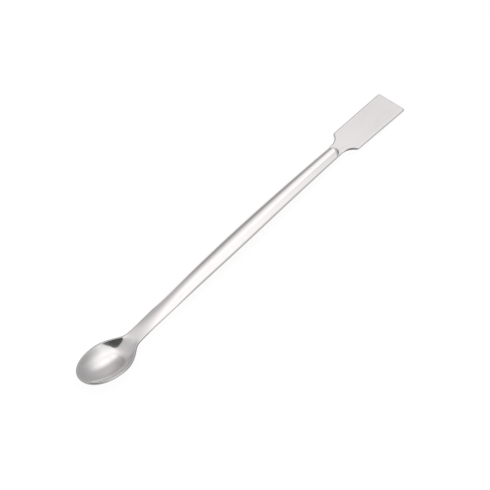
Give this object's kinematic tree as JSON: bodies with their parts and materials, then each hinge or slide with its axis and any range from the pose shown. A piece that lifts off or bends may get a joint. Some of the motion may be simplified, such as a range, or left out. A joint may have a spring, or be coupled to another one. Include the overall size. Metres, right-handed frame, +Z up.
{
  "type": "lab spatula",
  "caption": "One-piece pressed steel lab spatula with an oval spoon bowl at one end, an arched channel handle and a flat rectangular blade at the other end.",
  "frame": {"origin": "on the table, under the middle of the box that holds the part", "axes": "+X along the length from the spoon bowl to the blade, +Y across the width, +Z up"},
  "size_m": [0.15, 0.015, 0.006],
  "materials": {
    "steel": "polished bowl and handle, satin blade, rounded edges"
  },
  "bodies": {
    "root": {"spatula": "steel"}
  },
  "joints": []
}
